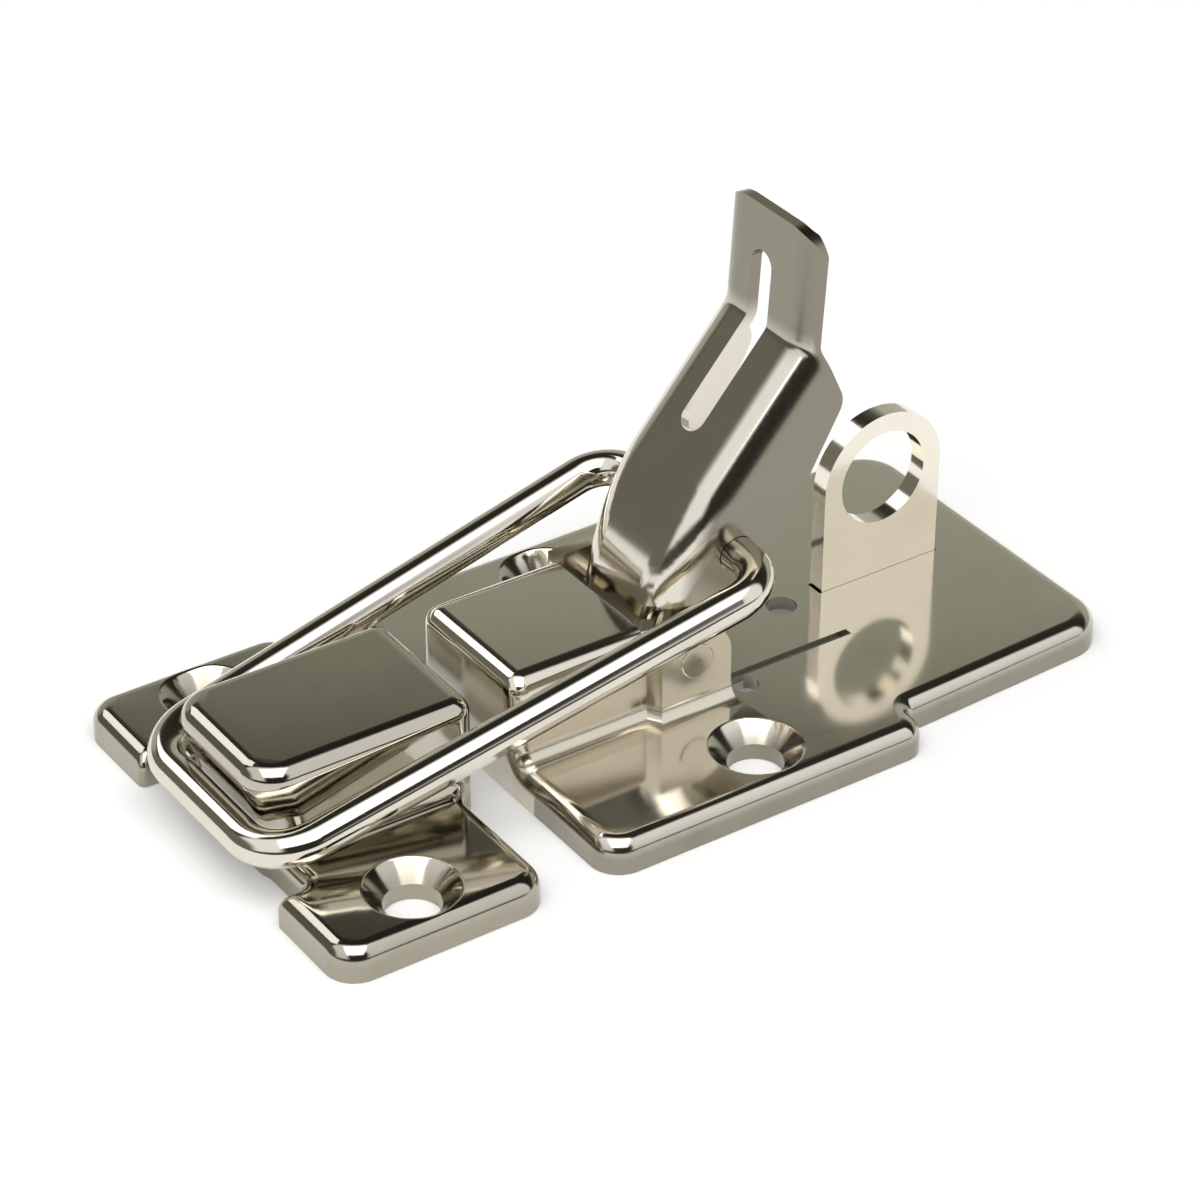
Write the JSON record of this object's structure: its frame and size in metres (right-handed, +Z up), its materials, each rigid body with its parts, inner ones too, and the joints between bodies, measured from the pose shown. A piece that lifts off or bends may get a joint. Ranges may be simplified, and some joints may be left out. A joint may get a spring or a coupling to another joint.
{
  "type": "over centre toggle latch",
  "caption": "Surface-mounted over centre toggle latch: a lever with a thumb tab draws a wire loop over a strike, with an eye for a padlock.",
  "frame": {"origin": "on the mounting plane, under the middle of the base plate's front edge, which faces the strike", "axes": "+X along the base plate from the strike towards the padlock eye, +Y across the latch, +Z up from the mounting surface"},
  "size_m": [0.0773, 0.04, 0.0402],
  "materials": {
    "pressed_steel": "bright nickel plate with light polishing marks",
    "eye_steel": "bright nickel plate, sheared edges",
    "lever_steel": "bright nickel plate with light handling marks",
    "wire": "bright nickel plated wire with faint drawing lines",
    "rivet": "nickel plate, slightly duller rounded ends"
  },
  "bodies": {
    "base": {"base_plate": "pressed_steel", "hood": "pressed_steel", "padlock_eye": "eye_steel", "pivot_pin": "rivet"},
    "lever": {"lever": "lever_steel"},
    "loop": {"wire_loop": "wire"},
    "strike": {"strike_plate": "pressed_steel"}
  },
  "joints": [
    {"name": "lever_pivot", "type": "hinge", "parent": "base", "child": "lever", "pos_m": [0.0164, 0, 0.0074], "axis": [0, 1, 0], "range_deg": [0, 61]},
    {"name": "loop_pivot", "type": "hinge", "parent": "lever", "child": "loop", "pos_m": [0.02128, 0, 0.01478], "axis": [0, 1, 0], "range_deg": [-51, 0]},
    {"name": "hook_pivot", "type": "hinge", "parent": "loop", "child": "strike", "pos_m": [-0.0232, 0, 0.0048], "axis": [0, 1, 0], "range_deg": [-10.4, 0]}
  ],
  "couplings": [
    {"joint": "loop_pivot", "follows": "lever_pivot", "ratio": -0.83208},
    {"joint": "hook_pivot", "follows": "lever_pivot", "ratio": -0.16792}
  ]
}
